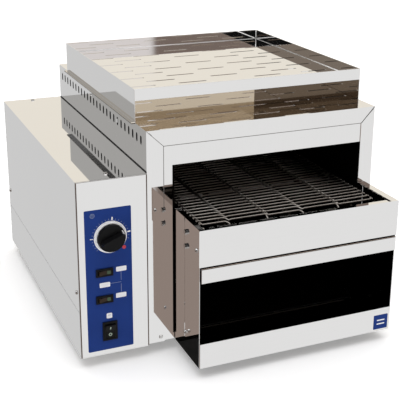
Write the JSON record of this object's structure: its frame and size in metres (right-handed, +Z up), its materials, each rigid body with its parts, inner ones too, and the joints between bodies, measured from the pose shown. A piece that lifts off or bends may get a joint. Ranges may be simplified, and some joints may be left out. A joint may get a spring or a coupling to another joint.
{
  "type": "conveyor oven",
  "caption": "Countertop stainless conveyor oven with wire belt, front loading bay, exit tray, side control box and slotted warming tray on top.",
  "frame": {"origin": "on the resting surface, under the middle of the whole object's bounding box", "axes": "+Z up, -Y towards the loading side, the control box on the -X side"},
  "size_m": [0.533, 0.6514, 0.441],
  "materials": {
    "polished_steel": "mirror-polished stainless sheet",
    "brushed_steel": "satin stainless sheet",
    "wire_steel": "drawn stainless wire, lightly heat-tinted",
    "machined_steel": "turned and milled steel",
    "chrome": "bright plated",
    "quartz": "frosted quartz tube",
    "ceramic": "glazed steatite",
    "black_plastic": "moulded black plastic",
    "overlay_blue": "printed polyester film",
    "rubber": "moulded black rubber",
    "motor_paint": "grey-black enamel",
    "board": "glass-fibre circuit board",
    "nylon": "moulded nylon"
  },
  "bodies": {
    "chassis": {"base_pan": "brushed_steel", "body_casing": "polished_steel", "front_fascia": "polished_steel", "back_panel": "brushed_steel", "left_tunnel_wall": "brushed_steel", "right_tunnel_wall": "brushed_steel", "tunnel_roof": "brushed_steel", "upper_heater_1": "quartz", "upper_heater_2": "quartz", "upper_heater_3": "quartz", "upper_heater_4": "quartz", "lower_heater_1": "quartz", "lower_heater_2": "quartz", "lower_heater_3": "quartz", "heater_end_blocks": "ceramic", "heater_guard": "brushed_steel", "lower_reflector": "brushed_steel", "belt_support_rails": "wire_steel", "conveyor_belt": "wire_steel", "shaft_bearings": "machined_steel", "drive_chain": "machined_steel", "gearmotor": "motor_paint", "left_side_plate": "polished_steel", "right_side_plate": "polished_steel", "front_cover": "polished_steel", "return_chute": "brushed_steel", "control_base": "brushed_steel", "control_cover": "polished_steel", "control_back": "brushed_steel", "control_front": "polished_steel", "control_overlay": "overlay_blue", "speed_potentiometer": "black_plastic", "power_switch_body": "black_plastic", "top_heat_switch_body": "black_plastic", "bottom_heat_switch_body": "black_plastic", "fan_frame": "black_plastic", "fan_guard": "chrome", "cable_gland": "black_plastic", "terminal_block": "nylon", "control_board": "board", "rubber_feet": "rubber", "panel_screws": "machined_steel", "bearing_bolts": "machined_steel"},
    "warming_tray": {"tray_frame": "polished_steel", "tray_floor": "polished_steel"},
    "crumb_drawer": {"crumb_tray": "polished_steel"},
    "toast_drawer": {"toast_tray": "polished_steel", "badge": "overlay_blue"},
    "speed_dial": {"speed_knob": "black_plastic", "knob_skirt": "chrome"},
    "power_rocker": {"power_rocker": "black_plastic"},
    "top_heat_rocker": {"top_heat_rocker": "black_plastic"},
    "bottom_heat_rocker": {"bottom_heat_rocker": "black_plastic"},
    "drive_axle": {"drive_shaft": "machined_steel", "drive_sprockets": "machined_steel", "driven_sprocket": "machined_steel"},
    "idler_axle": {"idler_shaft": "machined_steel", "idler_sprockets": "machined_steel"},
    "motor_output": {"motor_sprocket": "machined_steel"},
    "fan_rotor": {"fan_rotor": "black_plastic"}
  },
  "joints": [
    {"name": "warming_tray_lift", "type": "slide", "parent": "chassis", "child": "warming_tray", "axis": [0, 0, 1], "range_m": [0, 0.12]},
    {"name": "crumb_tray_slide", "type": "slide", "parent": "chassis", "child": "crumb_drawer", "axis": [0, -1, 0], "range_m": [0, 0.35]},
    {"name": "toast_tray_slide", "type": "slide", "parent": "chassis", "child": "toast_drawer", "axis": [0, -1, 0], "range_m": [0, 0.12]},
    {"name": "speed_dial_turn", "type": "hinge", "parent": "chassis", "child": "speed_dial", "pos_m": [-0.211, -0.22325, 0.224], "axis": [0, 1, 0], "range_deg": [-193, 66]},
    {"name": "power_rocker_tilt", "type": "hinge", "parent": "chassis", "child": "power_rocker", "pos_m": [-0.2159, -0.22165, 0.062], "axis": [-1, 0, 0], "range_deg": [0, 16]},
    {"name": "top_heat_rocker_tilt", "type": "hinge", "parent": "chassis", "child": "top_heat_rocker", "pos_m": [-0.2225, -0.22165, 0.1654], "axis": [0, 0, -1], "range_deg": [0, 16]},
    {"name": "bottom_heat_rocker_tilt", "type": "hinge", "parent": "chassis", "child": "bottom_heat_rocker", "pos_m": [-0.2235, -0.22165, 0.119], "axis": [0, 0, -1], "range_deg": [0, 16]},
    {"name": "drive_axle_spin", "type": "hinge", "parent": "chassis", "child": "drive_axle", "pos_m": [0.075, 0.21435, 0.2212], "axis": [1, 0, 0], "continuous": true},
    {"name": "idler_axle_spin", "type": "hinge", "parent": "chassis", "child": "idler_axle", "pos_m": [0.075, -0.26825, 0.2212], "axis": [1, 0, 0], "continuous": true},
    {"name": "motor_output_spin", "type": "hinge", "parent": "chassis", "child": "motor_output", "pos_m": [-0.1245, 0.21435, 0.1069], "axis": [1, 0, 0], "continuous": true},
    {"name": "fan_spin", "type": "hinge", "parent": "chassis", "child": "fan_rotor", "pos_m": [-0.2085, 0.29275, 0.22], "axis": [0, 1, 0], "continuous": true}
  ],
  "couplings": [
    {"joint": "idler_axle_spin", "follows": "drive_axle_spin", "ratio": 1},
    {"joint": "motor_output_spin", "follows": "drive_axle_spin", "ratio": 1}
  ]
}
